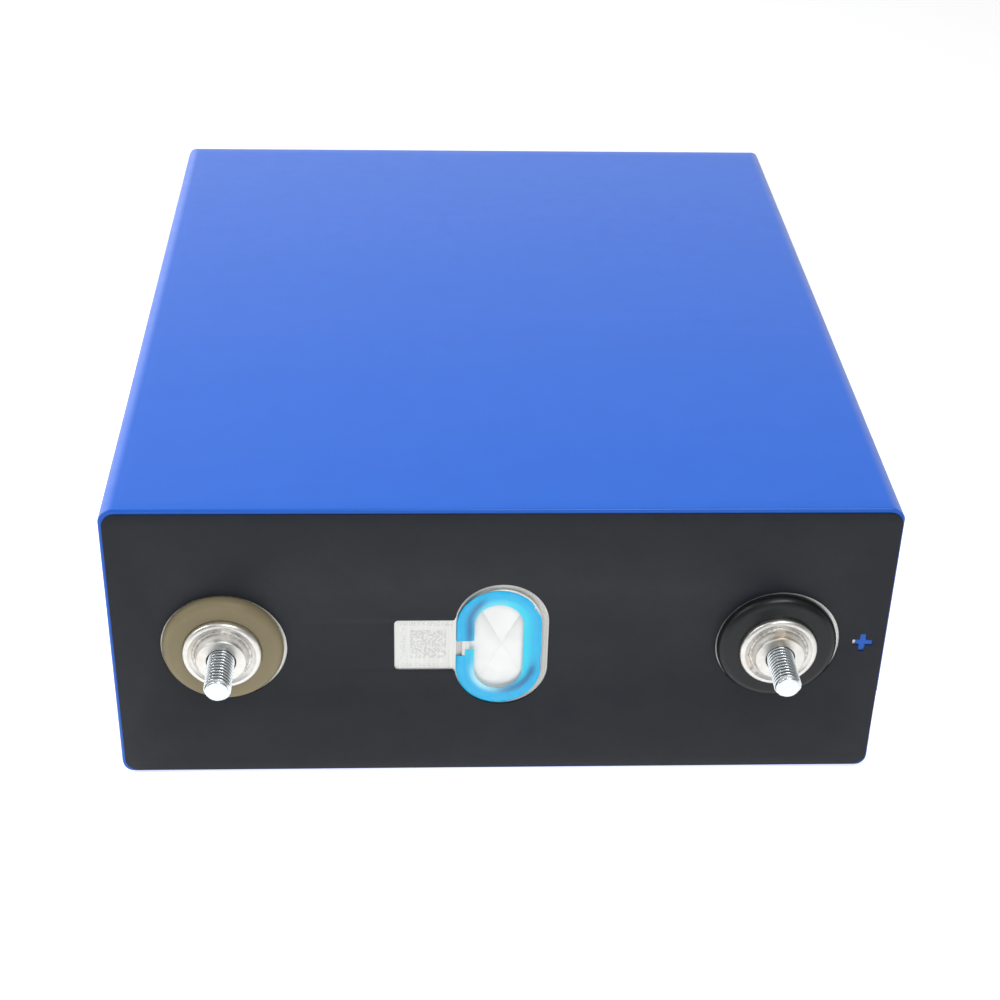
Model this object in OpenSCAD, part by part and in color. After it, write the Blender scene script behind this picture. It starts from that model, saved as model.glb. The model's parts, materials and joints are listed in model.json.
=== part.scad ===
// Prismatic lithium iron phosphate cell with two threaded studs, lying on a broad face.
// Millimetres. X runs across the width, the terminals face -Y and +Z is up. The origin is
// the centre of the broad face that the cell rests on.

/* [Body] */
// Width across the two narrow sides, over the film
body_w = 174; // [172:0.5:176]
// Thickness between the two broad faces, over the film
body_t = 72; // [70:0.5:74]
// Length from the base film to the black lid sheet
body_l = 204.6; // [196:0.2:210]
// Radius of the four long edges, over the film
edge_r = 3.6; // [2.6:0.1:4.5]
// Radius of the edges round the base, over the film
base_r = 2.0; // [1.5:0.1:2.6]
// Radius of the rim round the lid, over the film
rim_r = 0.65; // [0.5:0.05:0.8]

/* [Can and lid] */
// Wall of the drawn can
can_wall = 0.7; // [0.6:0.1:1]
// Thickness of the can's base
can_base = 1.0; // [0.8:0.1:1.5]
// Thickness of the cover plate
lid_t = 2.0; // [1.8:0.1:2.4]
// Width of the laser weld bead, measured into the cover plate
weld_in = 0.5; // [0.3:0.1:0.8]
// Depth of the laser weld bead
weld_depth = 0.5; // [0.3:0.1:0.8]

/* [Films] */
// Thickness of the blue wrap film
film_t = 0.15; // [0.1:0.05:0.2]
// Width of the film's lip, folded over the lid and over the base
film_lip = 7; // [5:0.5:8]
// Thickness of the black lid sheet
sheet_t = 0.3; // [0.2:0.05:0.5]
// Gap between the edge of the lid sheet and the side of the cell
sheet_margin = 0.65; // [0.5:0.05:1]
// Radius of the lid sheet's corners
sheet_r = 3.0; // [2:0.1:3.5]

/* [Terminals] */
// Distance between the two stud axes
terminal_pitch = 124; // [120:0.5:126]
// Radius of the round cut-outs in the lid sheet
cutout_r = 14; // [13.8:0.1:14.5]
// Radius of the insulator rings
ring_r = 13.5; // [13:0.1:13.7]
// Height of the insulator rings above the cover plate
ring_h = 2.65; // [2.4:0.05:3]
// Radius of the aluminium terminal pads
pad_r = 8.75; // [8.5:0.05:9.5]
// Height of the terminal pads above the cover plate
pad_h = 4.15; // [3.9:0.05:4.6]
// Height of the stud base above the cover plate
boss_h = 5.95; // [5.4:0.05:6.5]
// Height of the stud's tip above the cover plate
stud_h = 16.6; // [14:0.1:18]
// Radius of the M6 studs
stud_r = 3.0; // [2.8:0.1:3.1]

/* [Vent and marks] */
// Width of the vent cut-out in the lid sheet
vent_cut_w = 20.9; // [20.5:0.1:22]
// Height of the vent cut-out in the lid sheet
vent_cut_h = 33; // [32:0.1:34]
// Width of the hole through the cover plate behind the vent disc
vent_hole_w = 12; // [11:0.1:12.5]
// Height of the hole through the cover plate behind the vent disc
vent_hole_h = 23.2; // [22:0.1:24]
// Height of the plus-shaped cut-out beside the positive terminal
plus_h = 4.4; // [3.5:0.1:5]

/* [Windings] */
// Turns of each wound core, drawn coarse
core_turns = 4; // [2:1:4]
// Thickness of each electrode strip, drawn coarse
electrode_t = 1.3; // [1:0.1:1.3]
// Thickness of each separator strip, drawn coarse
separator_t = 0.4; // [0.2:0.1:0.4]

/* [Hidden] */
$fn = 96;

POSITIVE = 1;
NEGATIVE = -1;
CUT = 1;                                   // how far a cutting shape runs past a face

mid_z = body_t / 2;
can_w = body_w - 2 * film_t;
can_t = body_t - 2 * film_t;
can_edge_r = edge_r - film_t;
can_rim_r = rim_r - film_t;
can_base_r = base_r - film_t;
cavity_w = can_w - 2 * can_wall;
cavity_t = can_t - 2 * can_wall;
cavity_r = can_edge_r - can_wall;

// Planes along Y, from the front of the lid sheet to the back of the base film
sheet_front = -body_l / 2;
lip_front = sheet_front + sheet_t;
lid_front = lip_front + film_t;
lid_back = lid_front + lid_t;
base_back = body_l / 2;
fold_back = base_back - film_t;
can_back = fold_back - film_t;
cavity_back = can_back - can_base;

// Terminal, as heights above the cover plate
post_r = 4.5;
post_hole_r = 5.5;
ring_floor = 1.0;
ring_round = 1.5;
ring_gap = 0.05;
boss_seat = 3.3;
boss_foot_r = 6.0;
boss_top_r = 5.1;
boss_shoulder_r = 5.5;
boss_shoulder_h = 0.4;
boss_hole_r = 3.2;
pad_edge = 0.4;
pad_land = 0.9;
pad_dish = 0.45;
weld_r = 6.7;
weld_crown = 0.2;
stud_chamfer = 0.7;
stud_root_r = 2.65;

// Terminal, as depths below the cover plate's underside
seal_flange_r = 9.0;
seal_flange_t = 0.8;
post_flange_r = 9.0;
post_flange_t = 1.5;
collector_t = 1.5;
post_stub_r = 3.5;
tab_foot_t = 1.2;
insulator_t = 1.5;
insulator_hole_r = 9.2;
insulator_inner_x = 15;
insulator_outer_x = cavity_w / 2 - 1.65;
insulator_half_z = cavity_t / 2 - 2.15;
collector_w = 60;
collector_h = 48;
collector_x = 50;
corner_r = 2;

// Fill hole
fill_x = 31;
fill_r = 2.0;
fill_cap_r = 4.0;
fill_cap_t = 0.6;
fill_drip_r = 3.0;

// Vent, as depths and offsets from the middle of the cover plate's outer face
vent_ledge = 1.2;
vent_seat_depth = 1.2;
vent_disc_t = 0.3;
vent_score_w = 0.4;
vent_score_depth = 0.1;
guard_x = -0.6;
guard_z = -0.85;
guard_w = vent_cut_w - 1.9;
guard_h = vent_cut_h - 2.2;
guard_window_w = vent_hole_w - 1;
guard_window_h = vent_hole_h - 0.5;
guard_ring_t = 0.12;
guard_clear_t = 0.08;
guard_clear_margin = 0.3;
guard_gap_h = 4.1;
guard_gap_z = 0.1;
baffle_slot_w = 3;
baffle_slot_h = 22;
baffle_slot_pitch = 5.2;
baffle_slots = 5;

// Window in the lid sheet beside the vent, and the plus-shaped cut-out
tab_window_x = -24;
tab_window_h = 13.85;
tab_window_r = 1.0;
plus_x = 81.9;
plus_z = 0.25;
plus_w = 5.0;
plus_arm = 1.35;
plus_tilt = -2.5;

// Inside the can
bag_t = 0.2;
bag_front = lid_back + insulator_t + 0.1;
spacer_t = 1.2;
bag_back = cavity_back - spacer_t;
collector_front = lid_back + seal_flange_t + post_flange_t;
collector_back = collector_front + collector_t;
tab_foot_back = collector_back + tab_foot_t;
separator_front = lid_front + 13;
electrode_front = separator_front + 1.5;
core_back = bag_back - bag_t;
electrode_back = core_back - 1.5;

// Winding: one turn is a separator, an anode, a separator and a cathode, one on the other
wind_pitch = 2 * (separator_t + electrode_t);
wind_r0 = 1.5;
anode_offset = separator_t;
second_separator_offset = separator_t + electrode_t;
cathode_offset = 2 * separator_t + electrode_t;
wind_half_turns = 2 * core_turns;
wind_outer_r = wind_r0 + (wind_half_turns + 1) * wind_pitch / 2;
wind_drop = wind_outer_r + wind_pitch / 4;
core_gap = 0.2;
wind_half_run = cavity_w / 2 - bag_t - core_gap - wind_outer_r;
core_z = cavity_t / 2 - bag_t - core_gap - wind_drop;
tape_t = 0.1;
tape_w = 40;
tape_inset = 20;
tab_w = 40;
tab_x = 46;
tab_leg_t = 0.8;

// ---- Helpers ----

module rounded_rect(w, h, r) {
  square([w - 2 * r, h], center = true);
  square([w, h - 2 * r], center = true);
  for (sx = [-1, 1], sy = [-1, 1])
    translate([sx * (w / 2 - r), sy * (h / 2 - r)])
      circle(r = r);
}

// Upright slot with round ends
module stadium(w, h) {
  square([w, h - w], center = true);
  for (s = [-1, 1])
    translate([0, s * (h - w) / 2])
      circle(d = w);
}

// Extrudes an outline in X and Z from one Y plane to another, centred on mid_z
module along_y(y_low, y_high)
  translate([0, y_high, mid_z])
    rotate([90, 0, 0])
      linear_extrude(y_high - y_low)
        children();

// Strip of width w from low to high, with its corners rounded by r_low and r_high
module end_profile(w, low, high, r_low, r_high) {
  translate([-w / 2, low + r_low])
    square([w, high - low - r_low - r_high]);
  translate([-w / 2 + r_low, low])
    square([w - 2 * r_low, (high - low) / 2]);
  translate([-w / 2 + r_high, (high + low) / 2])
    square([w - 2 * r_high, (high - low) / 2]);
  for (s = [-1, 1]) {
    if (r_low > 0)
      translate([s * (w / 2 - r_low), low + r_low])
        circle(r = r_low);
    if (r_high > 0)
      translate([s * (w / 2 - r_high), high - r_high])
        circle(r = r_high);
  }
}

// Block along Y with round long edges and a rounded edge at each end
module rounded_block(w, t, y_low, y_high, r, r_low, r_high)
  intersection() {
    along_y(y_low, y_high)
      rounded_rect(w, t, r);
    translate([0, 0, mid_z - t / 2])
      linear_extrude(t)
        end_profile(w, y_low, y_high, r_low, r_high);
    translate([-w / 2, 0, mid_z])
      rotate([90, 0, 90])
        linear_extrude(w)
          rotate(-90)
            mirror([1, 0])
              end_profile(t, y_low, y_high, r_low, r_high);
  }

module can_block()
  rounded_block(can_w, can_t, lid_front, can_back, can_edge_r, can_rim_r, can_base_r);

// Puts a shape drawn along +Z on a terminal axis, with z = 0 at the cover plate's outer face
module at_terminal(side)
  translate([side * terminal_pitch / 2, lid_front, mid_z])
    rotate([90, 0, 0])
      children();

// ---- Can, lid and weld ----

module seam_solid()
  along_y(lid_front, lid_front + weld_depth)
    difference() {
      rounded_rect(cavity_w + 2 * (can_wall - can_rim_r), cavity_t + 2 * (can_wall - can_rim_r),
                   cavity_r + can_wall - can_rim_r);
      rounded_rect(cavity_w - 2 * weld_in, cavity_t - 2 * weld_in, cavity_r - weld_in);
    }

module can()
  color([0.8, 0.81, 0.83])
    difference() {
      can_block();
      rounded_block(cavity_w, cavity_t, lid_front - CUT, cavity_back, cavity_r, 0,
                    can_base_r - can_wall);
      seam_solid();
    }

module cover_plate()
  color([0.85, 0.85, 0.84])
    difference() {
      along_y(lid_front, lid_back)
        rounded_rect(cavity_w, cavity_t, cavity_r);
      seam_solid();
      for (side = [POSITIVE, NEGATIVE])
        translate([side * terminal_pitch / 2, lid_back + CUT, mid_z])
          rotate([90, 0, 0])
            cylinder(r = post_hole_r, h = lid_t + 2 * CUT);
      along_y(lid_front - CUT, lid_back + CUT)
        stadium(vent_hole_w, vent_hole_h);
      along_y(lid_front - CUT, lid_front + vent_seat_depth)
        stadium(vent_hole_w + 2 * vent_ledge, vent_hole_h + 2 * vent_ledge);
      translate([fill_x, lid_back + CUT, mid_z])
        rotate([90, 0, 0])
          cylinder(r = fill_r, h = lid_t + 2 * CUT);
      translate([fill_x, lid_front + fill_cap_t, mid_z])
        rotate([90, 0, 0])
          cylinder(r = fill_cap_r, h = fill_cap_t + CUT);
    }

module lid_weld_seam()
  color([0.68, 0.69, 0.7])
    seam_solid();

module fill_stopper()
  color([0.16, 0.16, 0.17])
    translate([fill_x, lid_back, mid_z])
      rotate([90, 0, 0])
        cylinder(r = fill_r, h = lid_t - fill_cap_t);

module fill_cap()
  color([0.8, 0.8, 0.8])
    translate([fill_x, lid_front + fill_cap_t, mid_z])
      rotate([90, 0, 0])
        cylinder(r = fill_cap_r, h = fill_cap_t);

// ---- Vent ----

// Bar across the vent disc, from one end's corner to the opposite one
module score_bar(angle)
  rotate(angle)
    square([vent_hole_h + 2 * vent_ledge, vent_score_w], center = true);

module vent_disc()
  color([0.93, 0.93, 0.92])
    difference() {
      along_y(lid_front + vent_seat_depth - vent_disc_t, lid_front + vent_seat_depth)
        stadium(vent_hole_w + 2 * vent_ledge, vent_hole_h + 2 * vent_ledge);
      along_y(lid_front + vent_seat_depth - vent_disc_t - CUT,
              lid_front + vent_seat_depth - vent_disc_t + vent_score_depth)
        intersection() {
          union() {
            score_bar(atan2(vent_hole_h, vent_hole_w));
            score_bar(-atan2(vent_hole_h, vent_hole_w));
          }
          stadium(vent_hole_w, vent_hole_h);
        }
    }

module vent_film_ring()
  color([0.25, 0.78, 0.97])
    along_y(lid_front - guard_ring_t, lid_front)
      translate([guard_x, guard_z])
        difference() {
          stadium(guard_w, guard_h);
          stadium(guard_window_w, guard_window_h);
          translate([-guard_w / 2 - CUT, guard_gap_z - guard_gap_h / 2])
            square([guard_w / 2 + CUT, guard_gap_h]);
        }

module vent_film_window()
  color([0.8, 0.92, 0.97, 0.5])
    along_y(lid_front - guard_ring_t - guard_clear_t, lid_front - guard_ring_t)
      translate([guard_x, guard_z])
        stadium(guard_w - 2 * guard_clear_margin, guard_h - 2 * guard_clear_margin);

module vent_baffle()
  color([0.2, 0.2, 0.21])
    along_y(lid_back, lid_back + insulator_t)
      difference() {
        square([2 * insulator_inner_x, 2 * insulator_half_z], center = true);
        for (i = [0 : baffle_slots - 1])
          translate([(i - (baffle_slots - 1) / 2) * baffle_slot_pitch, 0])
            stadium(baffle_slot_w, baffle_slot_h);
      }

// ---- Films and sheets ----

module wrap_film()
  color([0.18, 0.36, 0.82])
    difference() {
      rounded_block(body_w, body_t, lip_front, fold_back, edge_r, rim_r, base_r);
      can_block();
      along_y(lip_front - CUT, lid_front + CUT)
        rounded_rect(body_w - 2 * film_lip, body_t - 2 * film_lip, corner_r);
      along_y(can_back - CUT, fold_back + CUT)
        rounded_rect(body_w - 2 * film_lip, body_t - 2 * film_lip, corner_r);
    }

module base_film()
  color([0.16, 0.33, 0.78])
    union() {
      along_y(fold_back, base_back)
        rounded_rect(body_w - 2 * base_r - 1, body_t - 2 * base_r - 1, edge_r);
      along_y(can_back, base_back)
        rounded_rect(body_w - 2 * film_lip, body_t - 2 * film_lip, corner_r);
    }

module plus_shape()
  translate([plus_x, plus_z])
    rotate(plus_tilt) {
      square([plus_w, plus_arm], center = true);
      square([plus_arm, plus_h], center = true);
    }

// Everything that the lid sheet leaves bare
module sheet_cutouts() {
  for (side = [POSITIVE, NEGATIVE])
    translate([side * terminal_pitch / 2, 0])
      circle(r = cutout_r);
  stadium(vent_cut_w, vent_cut_h);
  translate([tab_window_x / 2, 0])
    rounded_rect(-tab_window_x, tab_window_h, tab_window_r);
  plus_shape();
}

module lid_sheet()
  color([0.13, 0.13, 0.15])
    difference() {
      union() {
        along_y(sheet_front, lip_front)
          rounded_rect(body_w - 2 * sheet_margin, body_t - 2 * sheet_margin, sheet_r);
        along_y(sheet_front, lid_front)
          rounded_rect(body_w - 2 * film_lip, body_t - 2 * film_lip, corner_r);
      }
      along_y(sheet_front - CUT, lid_front + CUT)
        sheet_cutouts();
    }

// ---- Terminal pieces, one of each on both sides ----

module insulator_ring(side)
  at_terminal(side)
    rotate_extrude() {
      translate([post_r, 0])
        square([ring_r - post_r, ring_floor]);
      translate([pad_r + ring_gap, 0])
        square([ring_r - ring_round - pad_r - ring_gap, ring_h]);
      translate([pad_r + ring_gap, 0])
        square([ring_r - pad_r - ring_gap, ring_h - ring_round]);
      intersection() {
        translate([ring_r - ring_round, ring_h - ring_round])
          circle(r = ring_round);
        translate([ring_r - ring_round, 0])
          square([ring_round, ring_h]);
      }
    }

module pad(side)
  color([0.86, 0.86, 0.85])
    at_terminal(side)
      rotate_extrude()
        polygon([
          [post_r, ring_floor],
          [pad_r, ring_floor],
          [pad_r, pad_h - pad_edge],
          [pad_r - pad_edge, pad_h],
          [pad_r - pad_land, pad_h],
          [weld_r, pad_h - pad_dish],
          [weld_r, boss_seat],
          [post_r, boss_seat]
        ]);

module stud_base(side)
  color([0.84, 0.84, 0.83])
    at_terminal(side)
      rotate_extrude()
        polygon([
          [boss_hole_r, boss_seat],
          [boss_foot_r, boss_seat],
          [boss_shoulder_r, boss_h - boss_shoulder_h],
          [boss_top_r, boss_h],
          [boss_hole_r, boss_h]
        ]);

// Fills the groove between the stud base and the pad
module base_weld(side)
  color([0.62, 0.61, 0.6])
    at_terminal(side)
      difference() {
        rotate_extrude()
          polygon([
            [boss_shoulder_r, boss_seat],
            [weld_r, boss_seat],
            [weld_r, pad_h - pad_dish],
            [(weld_r + boss_foot_r) / 2, pad_h - pad_dish + weld_crown],
            [boss_shoulder_r, pad_h - pad_dish]
          ]);
        rotate_extrude()
          polygon([
            [0, boss_seat - CUT],
            [boss_foot_r, boss_seat - CUT],
            [boss_foot_r, boss_seat],
            [boss_shoulder_r, boss_h - boss_shoulder_h],
            [0, boss_h - boss_shoulder_h]
          ]);
      }

module stud(side)
  color([0.75, 0.8, 0.84])
    at_terminal(side)
      rotate_extrude()
        polygon([
          [0, boss_seat],
          [stud_root_r, boss_seat],
          [stud_root_r, boss_h],
          [stud_r, boss_h],
          [stud_r, stud_h - stud_chamfer],
          [stud_r - stud_chamfer, stud_h],
          [0, stud_h]
        ]);

module post(side, tint)
  color(tint)
    at_terminal(side)
      rotate_extrude()
        polygon([
          [0, -lid_t - seal_flange_t - post_flange_t - collector_t],
          [post_stub_r, -lid_t - seal_flange_t - post_flange_t - collector_t],
          [post_stub_r, -lid_t - seal_flange_t - post_flange_t],
          [post_flange_r, -lid_t - seal_flange_t - post_flange_t],
          [post_flange_r, -lid_t - seal_flange_t],
          [post_r, -lid_t - seal_flange_t],
          [post_r, boss_seat],
          [0, boss_seat]
        ]);

module seal(side)
  color([0.12, 0.12, 0.12])
    at_terminal(side)
      rotate_extrude()
        polygon([
          [post_r, -lid_t - seal_flange_t],
          [seal_flange_r, -lid_t - seal_flange_t],
          [seal_flange_r, -lid_t],
          [post_hole_r, -lid_t],
          [post_hole_r, 0],
          [post_r, 0]
        ]);

module lower_insulator(side)
  color([0.22, 0.22, 0.23])
    along_y(lid_back, lid_back + insulator_t)
      difference() {
        translate([side * (insulator_inner_x + insulator_outer_x) / 2, 0])
          square([insulator_outer_x - insulator_inner_x, 2 * insulator_half_z], center = true);
        translate([side * terminal_pitch / 2, 0])
          circle(r = insulator_hole_r);
        if (side == POSITIVE)
          translate([fill_x, 0])
            circle(r = fill_drip_r);
      }

module collector(side, tint)
  color(tint)
    along_y(collector_front, collector_back)
      difference() {
        translate([side * collector_x, 0])
          rounded_rect(collector_w, collector_h, corner_r);
        translate([side * terminal_pitch / 2, 0])
          circle(r = post_stub_r);
      }

// ---- Wound cores ----

// Inner radius of the half ring that ends half turn i, for a strip at a given offset
function wind_r(i, offset_r) = wind_r0 + i * wind_pitch / 2 + offset_r;

// Strip wound round a flat core: a half ring and a flat run for each half turn
module wound_strip(offset_r, thickness)
  for (i = [0 : wind_half_turns - 1]) {
    r_in = wind_r(i, offset_r);
    r_out = r_in + thickness;
    side = i % 2 == 0 ? 1 : -1;
    translate([side * wind_half_run, side * wind_pitch / 4])
      intersection() {
        difference() {
          circle(r = r_out);
          circle(r = r_in);
        }
        translate([side * r_out, 0])
          square([2 * r_out, 3 * r_out], center = true);
      }
    translate([0, side * (r_in + wind_pitch / 4 + thickness / 2)])
      square([2 * wind_half_run, thickness], center = true);
  }

// Core 1 lies below the middle plane, and core 2 is core 1 turned over above it
module in_core(number, y_low, y_high)
  along_y(y_low, y_high)
    rotate(number == 1 ? 0 : 180)
      translate([0, -core_z])
        children();

module core_anode(number)
  color([0.35, 0.25, 0.2])
    in_core(number, electrode_front, electrode_back)
      wound_strip(anode_offset, electrode_t);

module core_cathode(number)
  color([0.25, 0.25, 0.27])
    in_core(number, electrode_front, electrode_back)
      wound_strip(cathode_offset, electrode_t);

module core_separator(number)
  color([0.95, 0.95, 0.93])
    in_core(number, separator_front, core_back)
      for (offset_r = [0, second_separator_offset])
        wound_strip(offset_r, separator_t);

// Tape over the tail of the last turn, on the core's outer flat
module core_tape(number)
  color([0.35, 0.65, 0.4])
    in_core(number, electrode_front + tape_inset, electrode_back - tape_inset)
      translate([0, -wind_drop - tape_t / 2])
        square([tape_w, tape_t], center = true);

// Height of the middle of a strip's flat run above the core's middle plane
function run_z(i, strip_offset) = wind_r(i, strip_offset) + wind_pitch / 4 + electrode_t / 2;

// Foil tabs of one polarity: a leg from each flat run on the side of the core that faces the
// middle of the cell, and a foot that the legs share, welded to the collector
module tabs(side, strip_offset)
  for (number = [1, 2]) {
    core_side = number == 1 ? side : -side;
    foot_low = run_z(0, strip_offset) - tab_leg_t / 2;
    foot_high = run_z(wind_half_turns - 2, strip_offset) + tab_leg_t / 2;
    in_core(number, collector_back, tab_foot_back)
      translate([core_side * tab_x, (foot_low + foot_high) / 2])
        square([tab_w, foot_high - foot_low], center = true);
    in_core(number, tab_foot_back, electrode_front)
      for (i = [0 : 2 : wind_half_turns - 2])
        translate([core_side * tab_x, run_z(i, strip_offset)])
          square([tab_w, tab_leg_t], center = true);
  }

module inner_bag()
  color([0.75, 0.85, 0.95])
    difference() {
      along_y(bag_front, bag_back)
        rounded_rect(cavity_w, cavity_t, cavity_r);
      along_y(bag_front - CUT, bag_back - bag_t)
        rounded_rect(cavity_w - 2 * bag_t, cavity_t - 2 * bag_t, cavity_r - bag_t);
    }

module base_spacer()
  color([0.3, 0.3, 0.32])
    along_y(bag_back, cavity_back)
      rounded_rect(cavity_w - 2 * can_base_r, cavity_t - 2 * can_base_r, cavity_r);

can();
cover_plate();
lid_weld_seam();
fill_stopper();
fill_cap();
vent_disc();
vent_film_ring();
vent_film_window();
lid_sheet();
wrap_film();
base_film();
color([0.14, 0.14, 0.15]) insulator_ring(POSITIVE);  // positive_insulator_ring
color([0.6, 0.54, 0.42]) insulator_ring(NEGATIVE);  // negative_insulator_ring
pad(POSITIVE);  // positive_pad
pad(NEGATIVE);  // negative_pad
stud_base(POSITIVE);  // positive_stud_base
stud_base(NEGATIVE);  // negative_stud_base
base_weld(POSITIVE);  // positive_base_weld
base_weld(NEGATIVE);  // negative_base_weld
stud(POSITIVE);  // positive_stud
stud(NEGATIVE);  // negative_stud
post(POSITIVE, [0.8, 0.8, 0.8]);  // positive_post
post(NEGATIVE, [0.78, 0.47, 0.3]);  // negative_post
seal(POSITIVE);  // positive_seal
seal(NEGATIVE);  // negative_seal
lower_insulator(POSITIVE);  // positive_lower_insulator
lower_insulator(NEGATIVE);  // negative_lower_insulator
collector(POSITIVE, [0.82, 0.82, 0.82]);  // positive_collector
collector(NEGATIVE, [0.8, 0.5, 0.32]);  // negative_collector
color([0.8, 0.8, 0.8]) tabs(POSITIVE, cathode_offset);  // positive_tabs
color([0.8, 0.5, 0.32]) tabs(NEGATIVE, anode_offset);  // negative_tabs
vent_baffle();
core_anode(1);  // core_1_anode
core_cathode(1);  // core_1_cathode
core_separator(1);  // core_1_separator
core_tape(1);  // core_1_tape
core_anode(2);  // core_2_anode
core_cathode(2);  // core_2_cathode
core_separator(2);  // core_2_separator
core_tape(2);  // core_2_tape
inner_bag();
base_spacer();
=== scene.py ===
"""Looks of a prismatic battery cell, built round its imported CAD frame.

Lengths inside this script are millimetres and become metres where a mesh is made. Outlines are
(x, z) points, with z counted from the cell's middle plane. A terminal's profile is a list of
(radius, height) points, with height counted outwards from the cover plate's face.
"""

import json
import math

import bmesh
import bpy
from mathutils import Matrix, Vector, noise
from mathutils.geometry import tessellate_polygon


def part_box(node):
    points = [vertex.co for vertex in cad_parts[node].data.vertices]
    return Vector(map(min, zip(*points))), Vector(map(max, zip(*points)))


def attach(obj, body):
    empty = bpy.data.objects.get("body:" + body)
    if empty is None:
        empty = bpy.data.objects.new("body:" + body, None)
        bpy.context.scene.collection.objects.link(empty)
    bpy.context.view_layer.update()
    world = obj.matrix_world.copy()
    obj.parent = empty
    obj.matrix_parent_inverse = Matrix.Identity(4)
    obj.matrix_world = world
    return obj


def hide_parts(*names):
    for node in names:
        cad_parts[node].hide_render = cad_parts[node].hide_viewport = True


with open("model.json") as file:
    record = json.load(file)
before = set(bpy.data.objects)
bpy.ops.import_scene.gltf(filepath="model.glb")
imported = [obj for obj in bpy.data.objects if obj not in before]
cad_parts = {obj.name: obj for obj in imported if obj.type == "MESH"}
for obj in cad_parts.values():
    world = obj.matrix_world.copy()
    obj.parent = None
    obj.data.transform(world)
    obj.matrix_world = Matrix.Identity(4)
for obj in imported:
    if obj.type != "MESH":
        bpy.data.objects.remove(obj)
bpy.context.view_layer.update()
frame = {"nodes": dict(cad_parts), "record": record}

MM = 0.001


def box_mm(node):
    low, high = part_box(node)
    return low / MM, high / MM


def half_width(node):
    low, high = box_mm(node)
    return (high.x - low.x) / 2


def reach(node):
    """How far a node stands out of the cover plate's face."""
    return LID_FRONT - box_mm(node)[0].y


# ---- Sizes, from the frame ----

film_low, film_high = box_mm("wrap_film")
sheet_low, sheet_high = box_mm("lid_sheet")
lid_low, lid_high = box_mm("cover_plate")
ring_low, ring_high = box_mm("vent_film_ring")

WIDTH = film_high.x - film_low.x
THICKNESS = film_high.z - film_low.z
MID_Z = (film_low.z + film_high.z) / 2
LIP_FRONT = film_low.y
FOLD_BACK = film_high.y
SHEET_FRONT = sheet_low.y
LID_FRONT = lid_low.y
LID_BACK = lid_high.y
BASE_BACK = box_mm("base_film")[1].y
CAN_BACK = box_mm("can")[1].y
FILM_T = LID_FRONT - LIP_FRONT
TERMINAL_X = (box_mm("positive_stud")[0].x + box_mm("positive_stud")[1].x) / 2
AXIS_X = {"negative": -TERMINAL_X, "positive": TERMINAL_X}

# Wrap film: radii of the cell's edges, the lip over the lid and the overlap seam
EDGE_R = 3.6
RIM_R = 0.65
BASE_R = 2.0
LIP = 7.0
LIP_R = 2.0
SEAM_Z = -14.0
SEAM_HALF = 0.06
SEAM_STEP = 0.08
# How deep the film's outer face lies below its flat: mean, swing and limit
RELIEF = 0.03
RELIEF_SWING = 0.022
RELIEF_LIMIT = 0.13
# Share of its overshoot by which a point at a cut corner is brought back further
CORNER_EASE = 0.03
# Margin of the base film inside the flat of the base
BASE_MARGIN = 0.5

# Can and lid
CAN_WALL = 0.7
WELD_STEP = 0.5
TERMINAL_HOLE_R = 5.5

# Lid sheet: it was stuck on a little to the right, and turned by a hair
SHEET_R = 3.0
SHEET_EDGE = 0.05
SHEET_SLIP = {"negative": (0.18, -0.12), "positive": (0.24, 0.06)}
SHEET_SHIFT = 0.21
SHEET_TRIM = 0.45
CUTOUT_R = 14.0
VENT_CUT_W = 20.9
VENT_CUT_H = 33.0
TAB_X = -24.0
TAB_H = 13.85
TAB_R = 1.0
PLUS_AT = (81.6, 0.25)
PLUS_W = 4.7
PLUS_H = 4.6
PLUS_ARM = 1.45
PLUS_TILT = math.radians(-2.5)
PLUS_NOTCH = (0.95, 1.1)

# Terminals
RING_R = half_width("positive_insulator_ring")
RING_H = reach("positive_insulator_ring")
PAD_R = half_width("positive_pad")
PAD_H = reach("positive_pad")
BOSS_H = reach("positive_stud_base")
BOSS_FOOT_R = half_width("positive_stud_base")
WELD_R = half_width("positive_base_weld")
STUD_R = half_width("positive_stud")
STUD_H = reach("positive_stud")
POST_R = 4.5
RING_ROUND = 2.1
RING_FLOOR = 1.0
PAD_ROUND = 0.9
PAD_RIM = 1.15
PAD_DISH = 0.45
BOSS_SEAT = 3.3
BOSS_HOLE_R = 3.2
BOSS_TOP_R = 5.45
WELD_RIPPLES = 38
THREAD_PITCH = 1.0
THREAD_DEPTH = 0.58
STUD_CHAMFER = 0.7
STUD_CROWN = 0.06

# Burn marks beside the weld, from the terminal's axis: x, z, radius, strength
STAINS = {
    "negative": [(3.3, 5.75, 0.35, 0.95), (2.6, 6.1, 0.25, 0.6), (4.6, 4.7, 0.5, 0.35),
                 (-4.9, 4.4, 0.45, 0.3), (5.6, 3.3, 0.3, 0.3)],
    "positive": [(-6.6, -0.6, 0.28, 0.95), (-6.3, -1.2, 0.25, 0.5), (-5.8, -4.2, 0.4, 0.7),
                 (-4.4, -5.6, 0.35, 0.5), (4.4, 4.5, 0.35, 0.5), (5.2, 3.5, 0.35, 0.35),
                 (-1.5, 5.9, 0.5, 0.3)],
}
# Heat tint, in the same form
TINTS = {
    "negative": [(-5.5, 1.0, 1.6, 0.25)],
    "positive": [(-0.6, 4.9, 1.5, 0.55), (1.6, 5.4, 1.3, 0.45), (-6.2, -2.5, 1.5, 0.30)],
}

# Trough round the vent: its gap to the cut-out, then how far inside its edge and how deep
TROUGH_GAP = 0.2
TROUGH = [(0, 0), (0.08, 0.05), (1.20, 0.50), (1.32, 0.50), (1.42, 0.06), (1.48, 0)]

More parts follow.
